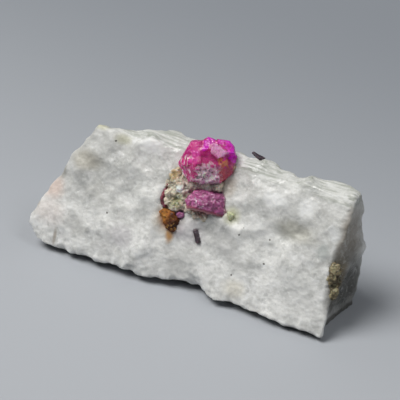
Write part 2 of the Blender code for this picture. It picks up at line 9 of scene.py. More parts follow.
import bmesh
import bpy
import numpy as np
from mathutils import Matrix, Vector, noise
from mathutils.bvhtree import BVHTree


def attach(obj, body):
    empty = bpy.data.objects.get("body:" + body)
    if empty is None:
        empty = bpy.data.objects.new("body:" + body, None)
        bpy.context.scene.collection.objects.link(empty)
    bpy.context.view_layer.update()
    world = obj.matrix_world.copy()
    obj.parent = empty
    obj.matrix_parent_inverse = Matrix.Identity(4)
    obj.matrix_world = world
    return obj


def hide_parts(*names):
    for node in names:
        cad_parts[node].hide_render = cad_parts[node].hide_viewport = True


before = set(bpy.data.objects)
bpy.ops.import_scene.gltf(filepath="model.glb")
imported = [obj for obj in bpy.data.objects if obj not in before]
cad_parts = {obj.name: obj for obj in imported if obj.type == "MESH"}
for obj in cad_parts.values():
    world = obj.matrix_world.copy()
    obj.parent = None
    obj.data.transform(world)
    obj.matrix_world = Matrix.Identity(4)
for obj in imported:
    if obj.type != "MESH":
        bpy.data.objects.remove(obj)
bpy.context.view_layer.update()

MM = 0.001

# Camera, in the direction that the photograph was taken from
VIEW_TURN = math.radians(30)
VIEW_RISE = math.radians(35)
VIEW_TARGET = Vector((2.1, -0.7, 18.3))
VIEW_DISTANCE = 340.0
LENS = 155.0

ACROSS = Vector((math.cos(VIEW_TURN), math.sin(VIEW_TURN), 0))
OUT = Vector((
    math.sin(VIEW_TURN) * math.cos(VIEW_RISE), -math.cos(VIEW_TURN) * math.cos(VIEW_RISE),
    math.sin(VIEW_RISE)))
UP = OUT.cross(ACROSS)

# Mesh sizes
MARBLE_VOXEL = 0.28
CRYSTAL_VOXEL = 0.11
GRAIN_VOXEL = 0.10
BROKEN_MEAN = 0.18      # mean height of a broken surface, as a share of its face's width
JOIN_DISTANCE = 0.001   # vertices closer than this are one

# Materials
PATCH_GRAIN = 0.8       # width of the uneven places along the edge of a colour zone
CELL_BEND = 1.3         # waves that bend the walls of cells, per cell

# Floor, sky and camera
FLOOR_REACH = 3.0                   # metres from its middle to each side
# The floor's colour is painted darker towards the back, as painted falloff of the light
FLOOR_PAINTED_FALLOFF = (-40.0, 120.0)         # the floor darkens between these places on Y
FLOOR_FRONT = (0.455, 0.475, 0.505)
FLOOR_BACK = (0.275, 0.295, 0.325)
SKY_COLOUR = (0.90, 0.94, 1.0, 1)
SKY_STRENGTH = 0.14                 # straight above
SKY_START = 0.1                     # lower than this, as a share of straight up, the sky is dark
CLIP_START = 0.01                   # metres

# The rubies' middles. Their six-sided ends look along OUT
RUBY_MAIN_MIDDLE = Vector((1.35, 3.45, 25.2))
RUBY_LOWER_MIDDLE = Vector((3.1, -0.1, 17.6))


# Meshes

def places_of(mesh):
    """The mesh's vertices, in millimetres."""
    places = np.empty(len(mesh.vertices) * 3, np.float32)
    mesh.vertices.foreach_get("co", places)
    return places.reshape(-1, 3).astype(float) / MM


def move_to(mesh, places):
    """Puts the mesh's vertices at these places, in millimetres."""
    mesh.vertices.foreach_set("co", (places * MM).astype(np.float32).ravel())
    mesh.update()


def normals_of(mesh):
    """The mesh's vertex normals."""
    normals = np.empty(len(mesh.vertices) * 3, np.float32)
    mesh.vertex_normals.foreach_get("vector", normals)
    return normals.reshape(-1, 3).astype(float)


def eased(mesh, rounds):
    """Smooths the mesh a little, which softens the solid's triangles."""
    shape = bmesh.new()
    shape.from_mesh(mesh)
    for _ in range(rounds):
        bmesh.ops.smooth_vert(
            shape, verts=shape.verts, factor=0.5, use_axis_x=True, use_axis_y=True, use_axis_z=True)
    shape.to_mesh(mesh)
    shape.free()


def fine_copy(node, voxel, rounds):
    """A new object with the node's shape on a fine, even mesh."""
    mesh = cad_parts[node].data.copy()
    shape = bmesh.new()
    shape.from_mesh(mesh)
    bmesh.ops.remove_doubles(shape, verts=shape.verts, dist=JOIN_DISTANCE * MM)
    shape.to_mesh(mesh)
    shape.free()
    rough = bpy.data.objects.new(node + "_rough", mesh)
    bpy.context.scene.collection.objects.link(rough)
    remesh = rough.modifiers.new("fine", "REMESH")
    remesh.mode = "VOXEL"
    remesh.voxel_size = voxel * MM
    bpy.context.view_layer.update()
    fine = bpy.data.meshes.new_from_object(rough.evaluated_get(bpy.context.evaluated_depsgraph_get()))
    bpy.data.objects.remove(rough, do_unlink=True)
    eased(fine, rounds)
    fine.shade_smooth()
    fine.materials.clear()
    obj = bpy.data.objects.new(node + "_surface", fine)
    bpy.context.scene.collection.objects.link(obj)
    return obj


def raised(obj, height):
    """Moves every vertex along its normal by height(place), in millimetres, and keeps the heights."""
    places = places_of(obj.data)
    heights = np.array([height(Vector(place)) for place in places])
    move_to(obj.data, places + normals_of(obj.data) * heights[:, None])
    kept = obj.data.attributes.new("relief", "FLOAT", "POINT")
    kept.data.foreach_set("value", heights.astype(np.float32))


def lean_of_face(centre):
    """Which way one face of a broken surface leans. It depends only on where the face lies."""
    return 0.6 * (noise.cell_vector(centre * 97.0) * 2 - Vector((1, 1, 1)))


def broken(place, width):
    """A broken surface: flat faces about this wide, which meet in ridges and grooves."""
    distances, centres = noise.voronoi(place / width)
    faces = [
        (place / width - centre).dot(lean_of_face(centre)) + 0.9 * distance ** 2
        for distance, centre in zip(distances, centres)
    ]
    return width * (min(faces) - BROKEN_MEAN)


def ramp(value, low, high):
    """0 at low, 1 at high, straight between and level beyond."""
    return min(1.0, max(0.0, (value - low) / (high - low)))


def near(place, middle, reach):
    """1 at the middle of a spot, falling smoothly to about a third at its reach."""
    return math.exp(-sum(((p - m) / r) ** 2 for p, m, r in zip(place, middle, reach)))


def close_gap(obj, neighbours, full=0.42, none=0.85, sink=0.05):
    """Draws the surface onto the neighbours that it holds, where it comes close to them."""
    trees = [
        BVHTree.FromPolygons(
            [v.co / MM for v in other.data.vertices], [tuple(p.vertices) for p in other.data.polygons])
        for other in neighbours
    ]
    places = places_of(obj.data)
    for i, place in enumerate(places):
        hits = [tree.find_nearest(place, none) for tree in trees]
        hits = [hit for hit in hits if hit[0] is not None]
        if hits:
            point, normal, _, distance = min(hits, key=lambda hit: hit[3])
            pull = 1 - ramp(distance, full, none)
            places[i] = Vector(place).lerp(point - normal * sink, pull)
    move_to(obj.data, places)


# Materials

class Finish:
    """A material, with short calls that add nodes to it. Places and sizes are in millimetres."""

    def __init__(self, name, **constants):
        self.material = bpy.data.materials.new(name)
        self.material.use_nodes = True
        self.tree = self.material.node_tree
        self.shader = self.tree.nodes["Principled BSDF"]
        for socket, value in constants.items():
            self.shader.inputs[socket.replace("_", " ")].default_value = value
        coordinates = self.add("ShaderNodeTexCoord")
        self.place = self.vector("SCALE", coordinates.outputs["Object"], scale=1 / MM)

    def add(self, kind, inputs=None, **settings):
        """A node with its settings, and its inputs linked or set."""
        node = self.tree.nodes.new(kind)
        for name, value in settings.items():
            setattr(node, name, value)
        for socket, value in (inputs or {}).items():
            self.feed(node.inputs[socket], value)
        return node

    def feed(self, socket, value):
        """Links an output to the socket, or sets the socket's own value."""
        if isinstance(value, bpy.types.NodeSocket):
            self.tree.links.new(value, socket)
        else:
            socket.default_value = value

    def vector(self, operation, first, second=None, scale=None):
        """A vector sum, product or the like."""
        node = self.add("ShaderNodeVectorMath", {0: first}, operation=operation)
        if second is not None:
            self.feed(node.inputs[1], second)
        if scale is not None:
            node.inputs["Scale"].default_value = scale
        return node.outputs["Value" if operation in ("DOT_PRODUCT", "LENGTH", "DISTANCE") else "Vector"]

    def parts_of(self, vector):
        """The vector's X, Y and Z."""
        return self.add("ShaderNodeSeparateXYZ", {"Vector": vector}).outputs

    def maths(self, operation, first, second=0.0):
        """A sum, product or the like of two numbers."""
        node = self.add("ShaderNodeMath", {0: first, 1: second}, operation=operation)
        return node.outputs[0]

    def limits(self, value, low, high, start=0.0, end=1.0):
        """start at low, end at high, a smooth change between and level beyond."""
        node = self.add("ShaderNodeMapRange", {
            "Value": value, "From Min": low, "From Max": high, "To Min": start, "To Max": end,
        }, interpolation_type="SMOOTHSTEP")
        return node.outputs["Result"]

    def mixed(self, factor, first, second):
        """Two colours mixed."""
        node = self.add("ShaderNodeMix", data_type="RGBA")
        colours = [socket for socket in node.inputs if socket.type == "RGBA"]
        self.feed(node.inputs[0], factor)
        for socket, colour in zip(colours, (first, second)):
            self.feed(socket, (*colour, 1) if isinstance(colour, tuple) else colour)
        return [socket for socket in node.outputs if socket.type == "RGBA"][0]

    def tinted(self, colour, mask, strength, tint):
        """The colour with a tint over it where the mask is 1. The strength may be a mask as well."""
        return self.mixed(self.maths("MULTIPLY", mask, strength), colour, tint)

    def noise(self, size, detail=3.0, stretch=(1, 1, 1), shift=0.0, distortion=0.0):
        """Cloudy noise around 0.5, in patches about this wide."""
        place = self.vector("MULTIPLY", self.place, tuple(s / size for s in stretch))
        place = self.vector("ADD", place, (shift, shift, shift))
        node = self.add("ShaderNodeTexNoise", {
            "Vector": place, "Scale": 1.0, "Detail": detail, "Distortion": distortion})
        return node.outputs["Fac"]

    def cells(self, size, shift=0.0, warp=0.3):
        """Cells about this wide, like the grains of a rock: their distance and colour outputs."""
        bend = self.add("ShaderNodeTexNoise", {
            "Vector": self.vector("SCALE", self.place, scale=CELL_BEND / size), "Scale": 1.0, "Detail": 2.0})
        place = self.vector("SCALE", self.place, scale=1 / size)
        place = self.vector("ADD", place, self.vector("SCALE", bend.outputs["Color"], scale=warp))
        place = self.vector("ADD", place, (shift, shift, shift))
        return self.add("ShaderNodeTexVoronoi", {"Vector": place, "Scale": 1.0}).outputs

    def spot(self, middle, reach, edge=0.6, ragged=0.25, size=1.5):
        """1 inside an oval spot, falling to 0 over its edge, with an uneven outline."""
        away = self.vector("SUBTRACT", self.place, tuple(middle))
        away = self.vector("DIVIDE", away, tuple(reach))
        distance = self.vector("LENGTH", away)
        uneven = self.maths("MULTIPLY_ADD", self.noise(size, 3.0, shift=sum(middle)), ragged * 2)
        uneven.node.inputs[2].default_value = -ragged
        distance = self.maths("ADD", distance, uneven)
        return self.limits(distance, 1 - edge, 1 + edge, 1.0, 0.0)

    def spotted(self, colour, spots):
        """The colour with spots over it: (middle, reach, strength, spot colour)."""
        for middle, reach, strength, tint in spots:
            colour = self.tinted(colour, self.spot(middle, reach), strength, tint)
        return colour

    def patch(self, place, corners, edge, ragged):
        """1 inside a patch with straight sides, given by its corners (across, up), clockwise."""
        uneven = self.noise(PATCH_GRAIN, 3.0, shift=corners[0][0] * 7)
        uneven = self.limits(uneven, 0.3, 0.7, -ragged, ragged)
        inside = None
        for (x, y), (next_x, next_y) in zip(corners, corners[1:] + corners[:1]):
            length = math.hypot(next_x - x, next_y - y)
            inwards = ((next_y - y) / length, (x - next_x) / length, 0.0)
            depth = self.vector("DOT_PRODUCT", self.vector("SUBTRACT", place, (x, y, 0.0)), inwards)
            side = self.limits(self.maths("ADD", depth, uneven), -edge, edge)
            inside = side if inside is None else self.maths("MULTIPLY", inside, side)
        return inside

    def raised_by(self, low, high):
        """0 where the mesh's own relief is below low, 1 above high, in millimetres."""
        height = self.add("ShaderNodeAttribute", attribute_name="relief").outputs["Fac"]
        return self.limits(height, low, high)

    def relief(self, height, depth, under=None):
        """A normal with small relief: height 0 to 1 stands for this depth."""
        node = self.add("ShaderNodeBump", {"Height": height, "Distance": depth * MM, "Strength": 1.0})
        if under is not None:
            self.feed(node.inputs["Normal"], under)
        return node.outputs["Normal"]

    def finish(self, colour, roughness, normal):
        """Gives the shader its colour, roughness and normal."""
        self.feed(self.shader.inputs["Base Color"], colour)
        self.feed(self.shader.inputs["Roughness"], roughness)
        self.feed(self.shader.inputs["Normal"], normal)
        return self.material


# Marble

MARBLE_WHITE = (0.80, 0.80, 0.77)
MARBLE_GREY = (0.64, 0.64, 0.61)

# Stains of the marble, and painted light and shade on it: (middle), (reach), strength, colour
MARBLE_STAINS_AND_PAINTED_LIGHT = [
    # Painted shade: greyer left third and peak
    ((-30.0, -3.0, 18.0), (7.0, 6.0, 7.0), 0.40, (0.56, 0.56, 0.54)),
    ((-22.0, 1.5, 24.0), (5.0, 3.0, 2.5), 0.30, (0.56, 0.56, 0.53)),
    # Brownish and grey hollows of the left half
    ((-24.2, -1.2, 19.4), (3.4, 3.0, 1.7), 0.65, (0.45, 0.42, 0.34)),
    ((-29.6, -2.3, 15.6), (1.0, 2.0, 1.6), 0.75, (0.34, 0.335, 0.30)),
    ((-22.9, -7.4, 7.2), (2.4, 2.5, 1.6), 0.55, (0.47, 0.47, 0.44)),
    ((-20.6, -4.2, 13.6), (3.0, 2.5, 1.6), 0.30, (0.50, 0.50, 0.47)),
    ((-12.8, -7.0, 8.1), (2.6, 2.5, 2.0), 0.45, (0.50, 0.47, 0.50)),
    ((-15.8, -8.0, 5.3), (2.0, 2.0, 1.6), 0.35, (0.47, 0.46, 0.46)),
    # Pink and peach near the left end
    ((-30.8, -4.2, 12.4), (2.6, 3.0, 1.8), 0.55, (0.80, 0.58, 0.48)),
    ((-30.0, -7.2, 8.3), (3.5, 3.0, 2.6), 0.30, (0.80, 0.66, 0.60)),
    # Yellow-green on the left peak, olive beside it
    ((-23.6, 3.0, 26.1), (2.4, 2.0, 0.9), 0.60, (0.62, 0.60, 0.34)),
    ((-17.8, 2.8, 24.2), (1.8, 1.2, 0.9), 0.60, (0.44, 0.43, 0.28)),
    # Crack and speck of the left end
    ((-27.7, -9.2, 3.9), (0.35, 1.2, 1.8), 0.65, (0.36, 0.30, 0.24)),
    ((-33.6, -6.8, 8.9), (0.8, 1.0, 0.7), 0.70, (0.28, 0.24, 0.16)),
    # Iron stain round the brown grain
    ((-3.9, -3.2, 12.8), (2.7, 2.2, 2.8), 0.50, (0.70, 0.56, 0.38)),
    ((-3.9, -3.2, 13.0), (1.7, 1.6, 1.8), 0.75, (0.44, 0.17, 0.05)),
    ((-2.8, -4.4, 10.8), (0.8, 1.5, 1.7), 0.90, (0.50, 0.24, 0.04)),
    # Violet-grey below the crust and round the front flake
    ((1.2, -3.0, 11.7), (3.0, 2.5, 2.4), 0.40, (0.50, 0.46, 0.50)),
    ((-1.8, -3.2, 11.5), (1.6, 1.5, 1.6), 0.45, (0.48, 0.42, 0.46)),
    # Painted warm shadow beside the rubies; green beside the tuft
    ((6.6, 2.8, 20.7), (1.6, 2.0, 2.4), 0.50, (0.56, 0.48, 0.38)),
    ((9.0, -0.2, 16.7), (1.6, 1.4, 1.6), 0.60, (0.50, 0.50, 0.26)),
    # Greys of the right half, with a pale place between
    ((9.0, -2.8, 11.0), (3.0, 2.5, 2.6), 0.60, (0.45, 0.45, 0.44)),
    ((27.4, -5.2, 6.0), (4.0, 3.0, 3.0), 0.35, (0.55, 0.55, 0.53)),
    # Olive of the dent, darkened as painted shade in the dent
    ((22.4, 0.8, 17.2), (4.6, 2.5, 1.8), 0.65, (0.42, 0.41, 0.34)),
    # Painted light: the pale place, on a concave spot that the lamp leaves darker
    ((16.2, -0.9, 16.2), (3.0, 2.2, 1.8), 0.50, (0.94, 0.94, 0.92)),
    ((29.4, -0.8, 15.7), (1.2, 1.2, 1.6), 0.50, (0.42, 0.46, 0.44)),
    ((14.0, -4.4, 8.7), (2.6, 2.0, 1.6), 0.35, (0.50, 0.50, 0.48)),
    ((25.5, -4.4, 8.7), (3.6, 2.0, 1.8), 0.25, (0.52, 0.53, 0.51)),
    # Painted shade: grey in the trough below the rubies
    ((0.4, -5.8, 5.7), (3.4, 2.6, 3.6), 0.40, (0.50, 0.50, 0.48)),
    # Cream low on the right half
    ((13.2, -6.8, 4.5), (2.2, 2.0, 1.6), 0.40, (0.72, 0.66, 0.50)),
    # Brown-grey of the right end's hollow, with painted shade darkening its lower part nearly to black
    ((33.2, 2.6, 18.2), (1.4, 5.0, 6.0), 0.88, (0.30, 0.265, 0.22)),
    ((33.2, 2.4, 7.0), (1.8, 7.0, 7.0), 0.95, (0.07, 0.068, 0.058)),
    ((32.9, -2.0, 6.0), (1.2, 2.5, 4.0), 0.85, (0.10, 0.095, 0.08)),
    ((33.2, -1.6, 12.0), (1.5, 2.6, 5.0), 0.90, (0.16, 0.13, 0.08)),
    # Painted light: whitest places, on the brow and ridges that face the lamp
    ((17.1, 2.1, 21.9), (2.4, 1.6, 1.2), 0.80, (0.95, 0.955, 0.94)),
    ((23.7, 2.7, 21.5), (1.6, 1.6, 1.8), 0.80, (0.95, 0.955, 0.94)),
    ((31.0, 0.8, 19.3), (1.4, 1.4, 1.4), 0.60, (0.92, 0.93, 0.92)),
    ((-10.9, 1.9, 25.1), (2.6, 2.0, 1.6), 0.90, (0.98, 0.98, 0.96)),
]

# Tiny dark specks of the marble
MARBLE_SPECKS = [
    (11.7, -2.0, 14.1), (17.9, -0.8, 14.4), (18.0, -3.3, 10.2), (12.0, -5.6, 6.7), (-18.9, 1.8, 24.0),
    (-17.1, -5.1, 11.1), (12.2, -1.2, 15.5), (22.0, 8.0, 25.9), (-6.0, 9.6, 15.3), (16.0, 9.2, 10.3),
]


def marble_relief(place):
    """Fine relief of the marble: calcite faces on the front, sheets along the top."""
    x, y, z = place
    grains = 0.09 * broken(place, 2.2) + 0.10 * broken(place + Vector((30, 0, 0)), 0.9)
    grains += 0.035 * noise.noise(place * 2.6)
    chipped = 0.20 * (broken(place + Vector((0, 50, 0)), 1.6) - 0.3)
    low_edge = ramp(-z, -4.4, -2.6)
    top = ramp(z, 23.7, 24.9) * ramp(y, 2.5, 5.0)
    end = ramp(x, 30.5, 32.0)
    sheets = 0.10 * noise.noise(Vector((0.10 * x, 1.6 * y, 1.6 * z)))
    sheets += 0.10 * noise.noise(Vector((0.30 * x, 3.6 * y, 3.6 * z)))
    hollow = 0.14 * broken(place + Vector((0, 0, 40)), 2.8) * end
    return ramp(z, 0.0, 0.8) * (grains * (1 - 0.4 * top) + chipped * low_edge + hollow + sheets * top)


def marble_finish():
    """White coarse calcite marble: waxy, mottled, with a few glossy cleavage faces."""
    it = Finish(
        "marble", IOR=1.5, Subsurface_Weight=0.25, Subsurface_Scale=0.0010,
        Subsurface_Radius=(1.0, 0.97, 0.90))
    height = it.parts_of(it.place)
    clouds = it.limits(it.noise(7.0, 3.0, shift=1.0), 0.36, 0.64)
    colour = it.mixed(clouds, MARBLE_GREY, MARBLE_WHITE)
    # Painted shade greys the top of the front and painted light whitens its foot
    colour = it.mixed(it.limits(height["Z"], 15.0, 24.0, 0.0, 0.25), colour, (0.50, 0.50, 0.48))
    colour = it.mixed(it.limits(height["Z"], 16.0, 6.0, 0.0, 0.60), colour, (0.93, 0.93, 0.91))
    # Calcite grains 2 mm wide: some milky, some grey and see-through
    grains = it.cells(2.0, warp=0.9)
    tone = it.add("ShaderNodeSeparateColor", {"Color": grains["Color"]}).outputs
    soft = it.limits(grains["Distance"], 0.75, 0.35)
    glassy = it.maths("MULTIPLY", it.limits(tone[1], 0.60, 0.85), soft)
    colour = it.tinted(colour, glassy, 0.45, (0.52, 0.525, 0.505))
    milky = it.maths("MULTIPLY", it.limits(tone[1], 0.40, 0.15), soft)
    colour = it.tinted(colour, milky, 0.40, (0.88, 0.88, 0.86))
    # Smaller patches, thin white veils, and grey spots 1 mm wide
    patches = it.noise(1.4, 3.5, shift=9.0, distortion=0.6)
    dull = it.limits(patches, 0.48, 0.36, 0.0, 0.35)
    colour = it.mixed(dull, colour, (0.55, 0.555, 0.53))
    veil = it.limits(patches, 0.54, 0.66, 0.0, 0.45)
    colour = it.mixed(veil, colour, (0.92, 0.925, 0.91))
    spots = it.cells(1.3, shift=23.0, warp=1.2)
    chosen = it.add("ShaderNodeSeparateColor", {"Color": spots["Color"]}).outputs[0]
    grey = it.maths("MULTIPLY", it.limits(chosen, 0.80, 0.92), it.limits(spots["Distance"], 0.60, 0.25))
    colour = it.tinted(colour, grey, 0.40, (0.40, 0.405, 0.39))
    # Sugary specks, pale and grey
    sugar = it.limits(it.noise(0.42, 2.0, shift=3.0), 0.56, 0.68, 0.0, 0.28)
    colour = it.mixed(sugar, colour, (0.96, 0.96, 0.95))
    dust = it.limits(it.noise(0.50, 2.0, shift=13.0), 0.58, 0.70, 0.0, 0.20)
    colour = it.mixed(dust, colour, (0.46, 0.46, 0.44))
    # Painted shade in the low places of the relief, and painted light on its high places
    painted_shade_low = it.maths("MULTIPLY", it.raised_by(-0.03, -0.12), 0.30)
    colour = it.mixed(painted_shade_low, colour, (0.46, 0.46, 0.44))
    painted_light_high = it.maths("MULTIPLY", it.raised_by(0.04, 0.14), 0.35)
    colour = it.mixed(painted_light_high, colour, (0.93, 0.93, 0.92))
    # Grey-green lines along the top, with white ones between
    top = it.maths("MULTIPLY", it.limits(height["Z"], 23.5, 24.7), it.limits(height["Y"], 2.8, 4.6))
    colour = it.tinted(colour, top, 0.30, (0.52, 0.54, 0.50))
    lines = it.noise(0.55, 4.0, stretch=(0.07, 1.0, 1.0), shift=5.0, distortion=0.3)
    dark_lines = it.maths("MULTIPLY", it.limits(lines, 0.46, 0.60), top)
    colour = it.tinted(colour, dark_lines, 0.75, (0.38, 0.40, 0.35))
    pale_lines = it.maths("MULTIPLY", it.limits(lines, 0.46, 0.36), top)
    colour = it.tinted(colour, pale_lines, 0.20, (0.92, 0.93, 0.90))
    colour = it.spotted(colour, MARBLE_STAINS_AND_PAINTED_LIGHT)
    # Pale veins across the dark right end
    end = it.limits(height["X"], 31.6, 33.2)
    veins = it.limits(it.noise(1.1, 4.0, shift=41.0, distortion=1.4), 0.56, 0.64)
    veins = it.maths("MULTIPLY", veins, it.maths("MULTIPLY", end, 0.35))
    colour = it.mixed(veins, colour, (0.62, 0.62, 0.58))
    # Painted shade on the underside, dark in the gap under the raised front edge
    under = it.limits(height["Z"], 1.7, 0.7)
    colour = it.tinted(colour, under, 0.85, (0.10, 0.095, 0.085))
    for place in MARBLE_SPECKS:
        colour = it.mixed(it.spot(place, (0.20, 0.20, 0.17), 0.5, 0.5, 0.3), colour, (0.10, 0.09, 0.08))
    roughness = it.limits(tone[2], 0.78, 0.86, 0.48, 0.24)
    fine = it.relief(it.noise(0.45, 4.0, shift=2.0), 0.05)
    normal = it.relief(it.cells(0.9, shift=4.0)["Distance"], 0.07, fine)
    return it.finish(colour, roughness, normal)


# Rubies

def ruby_axes(it, middle):
    """Where a point lies in the ruby's own axes: across, up and out."""
    away = it.vector("SUBTRACT", it.place, tuple(middle))
    parts = [it.vector("DOT_PRODUCT", away, tuple(axis)) for axis in (ACROSS, UP, OUT)]
    return it.add("ShaderNodeCombineXYZ", dict(enumerate(parts))).outputs[0]


# Zones of the large ruby in its own axes (across, up): corners clockwise, strength, softness, colour
MAIN_ZONES = [
    # Rose-pink block at the top left, paler inside
    (
        ((-5.8, -0.3), (-3.4, 4.0), (-0.9, 4.0), (-0.6, 1.0), (-1.7, 0.1), (-4.1, 0.8)),
        0.90, 0.15, (0.66, 0.025, 0.26)),
    (((-3.2, 3.3), (-1.6, 3.6), (-1.2, 1.7), (-2.6, 1.5)), 0.55, 0.30, (0.78, 0.11, 0.36)),
    # Magenta block in the middle of the top
    (
        ((-0.9, 2.8), (0.4, 4.8), (2.3, 4.2), (1.3, 3.3), (0.7, 1.4), (-0.6, 1.2)),
        0.92, 0.15, (0.72, 0.012, 0.56)),
    # Deep glassy block at the right, with a lighter and a darker place; its colours are lightened as painted
    # light, for light through the crystal on the side away from the lamp
    (
        ((1.5, 4.3), (5.6, 4.0), (6.2, 0.5), (4.0, -0.6), (3.9, 1.2), (2.3, 2.7)),
        0.95, 0.15, (1.0, 0.045, 0.74)),
    (((3.4, 3.0), (4.4, 3.0), (4.6, 2.1), (3.7, 1.9)), 0.50, 0.25, (0.60, 0.006, 0.26)),
    (((2.4, 4.0), (3.7, 4.0), (3.2, 3.0), (2.3, 3.1)), 0.60, 0.20, (0.95, 0.07, 0.70)),
    (((4.2, 1.0), (5.5, 1.0), (5.4, -0.5), (4.3, -0.3)), 0.95, 0.30, (1.00, 0.006, 0.85)),
    # Frosted face that points to the right
    (((1.06, 3.5), (2.4, 2.8), (4.3, 1.27), (2.3, 0.1), (0.6, 1.37)), 0.94, 0.10, (1.0, 0.46, 0.74)),
    # Deep pink-red lower left
    (((-6.2, -0.4), (-4.1, 0.7), (-1.8, 0.0), (-1.9, -3.6), (-4.8, -4.6)), 0.85, 0.25, (0.78, 0.05, 0.27)),
    # Pink middle
    (((-1.9, 0.1), (0.6, 1.1), (2.1, 0.2), (2.6, -1.3), (-1.8, -1.7)), 0.85, 0.25, (0.66, 0.07, 0.26)),
    # Orange stain and brown-red lower right
    (((2.4, 0.0), (4.2, -0.1), (4.2, -1.5), (2.8, -1.7)), 0.85, 0.30, (0.92, 0.34, 0.14)),
    (((2.4, -1.6), (4.6, -1.4), (4.9, -3.2), (3.4, -4.9), (2.2, -4.6)), 0.85, 0.25, (0.66, 0.08, 0.09)),
    # Yellowish edge at the right
    (
        ((5.0, -0.8), (6.2, 0.0), (6.2, -3.4), (4.3, -5.0), (3.9, -4.2), (4.9, -2.4)),
        0.70, 0.25, (0.88, 0.46, 0.26)),
    # Worn grey-white place
    (((-1.6, -1.5), (0.2, -0.9), (1.9, -1.7), (2.6, -5.2), (-3.4, -5.2)), 0.85, 0.45, (0.86, 0.60, 0.70)),
]


def ruby_main_relief(place):
    """Growth steps on the large ruby's faces, and its worn and broken lower part."""
    away = place - RUBY_MAIN_MIDDLE
    across, up = away.dot(ACROSS), away.dot(UP)
    worn = ramp(-up, 0.8, 2.4) * (1 - ramp(abs(across + 0.2), 2.2, 4.2))
    steps = math.floor(4 * noise.noise(place * 0.9)) / 4
    rough = 0.55 * broken(place, 1.2) + 0.35 * broken(place, 0.5)
    return 0.08 * steps + 0.05 * noise.noise(place * 2.1) + worn * rough


def ruby_main_finish():
    """Translucent pink-red corundum with glassy, frosted, stained and worn zones."""
    it = Finish(
        "ruby", IOR=1.77, Specular_IOR_Level=0.30, Transmission_Weight=0.15, Subsurface_Weight=0.45,
        Subsurface_Scale=0.0030, Subsurface_Radius=(1.0, 0.1, 0.7))
    away = ruby_axes(it, RUBY_MAIN_MIDDLE)
    height = it.parts_of(away)
    veils = it.limits(it.noise(1.6, 4.0, distortion=0.6), 0.36, 0.64)
    colour = it.mixed(veils, (0.50, 0.02, 0.17), (0.70, 0.05, 0.34))
    for corners, strength, edge, tint in MAIN_ZONES:
        zone = it.patch(away, list(corners), edge, 2 * edge)
        colour = it.tinted(colour, zone, strength, tint)
    # Facets inside the crystal, some deep and some bright
    facets = it.cells(1.5, shift=3.0, warp=0.25)
    tone = it.add("ShaderNodeSeparateColor", {"Color": facets["Color"]}).outputs[0]
    colour = it.mixed(it.limits(tone, 0.62, 0.66, 0.0, 0.28), colour, (0.30, 0.002, 0.12))
    colour = it.mixed(it.limits(tone, 0.24, 0.20, 0.0, 0.30), colour, (0.98, 0.16, 0.62))
    # Flaws inside the crystal, deep and pale
    flaws = it.limits(it.noise(0.9, 5.0, shift=31.0, distortion=1.2), 0.56, 0.70)
    colour = it.tinted(colour, flaws, 0.30, (0.34, 0.004, 0.09))
    flecks = it.limits(it.noise(0.38, 3.0, shift=17.0), 0.61, 0.70)
    colour = it.tinted(colour, flecks, 0.25, (0.96, 0.34, 0.66))
    # Painted highlights: pale streaks down the left side, where its striations catch the light
    streak_highlight_side = it.maths("MULTIPLY", it.limits(height["X"], -2.6, -3.6), it.limits(height["Y"], 1.2, 0.2))
    streak_highlight_side = it.maths("MULTIPLY", streak_highlight_side, it.limits(height["X"], -5.9, -5.3))
    turned = it.vector("MULTIPLY", away, (1.0, 0.25, 1.0))
    painted_highlight_streak_noise = it.add("ShaderNodeTexNoise", {
        "Vector": it.vector("SCALE", turned, scale=2.4), "Scale": 1.0, "Detail": 3.0})
    painted_highlight_streaks = it.maths("MULTIPLY", it.limits(painted_highlight_streak_noise.outputs["Fac"], 0.53, 0.61), streak_highlight_side)
    colour = it.tinted(colour, painted_highlight_streaks, 0.95, (0.98, 0.76, 0.82))
    # Painted highlight: a pale line of rim light along the right edge
    painted_rim_light = it.maths("MULTIPLY", it.limits(height["X"], 5.15, 5.45), it.limits(height["Y"], -0.2, -1.2))
    colour = it.tinted(colour, painted_rim_light, 0.6, (0.92, 0.66, 0.52))
    # Dark cracks and dark specks in the worn part
    worn = it.maths("MULTIPLY", it.limits(height["Y"], -0.4, -2.2), it.limits(height["X"], 3.2, 1.6))
    worn = it.maths("MULTIPLY", worn, it.limits(height["X"], -3.2, -1.6))
    white = it.limits(it.noise(0.7, 4.0, shift=37.0), 0.47, 0.58)
    white = it.maths("MULTIPLY", white, it.limits(height["Y"], -1.2, -3.0, 0.1, 0.9))
    colour = it.tinted(colour, white, worn, (0.96, 0.84, 0.88))
    specks = it.limits(it.noise(0.75, 5.0, shift=11.0, distortion=0.6), 0.55, 0.61, 0.0, 0.80)
    colour = it.tinted(colour, specks, worn, (0.12, 0.04, 0.07))
    roughness = it.limits(it.noise(1.2, 2.0, shift=21.0), 0.35, 0.65, 0.14, 0.36)
    roughness = it.maths("MAXIMUM", roughness, it.maths("MULTIPLY", worn, 0.6))
    fine = it.relief(it.noise(0.4, 4.0, shift=1.0), 0.05)
    normal = it.relief(it.cells(0.7, shift=8.0)["Distance"], 0.05, fine)
    return it.finish(colour, roughness, normal)


def ruby_lower_relief(place):
    """The small ruby is granular all over."""
    return 0.30 * broken(place, 1.1) + 0.16 * broken(place + Vector((9, 0, 0)), 0.45)


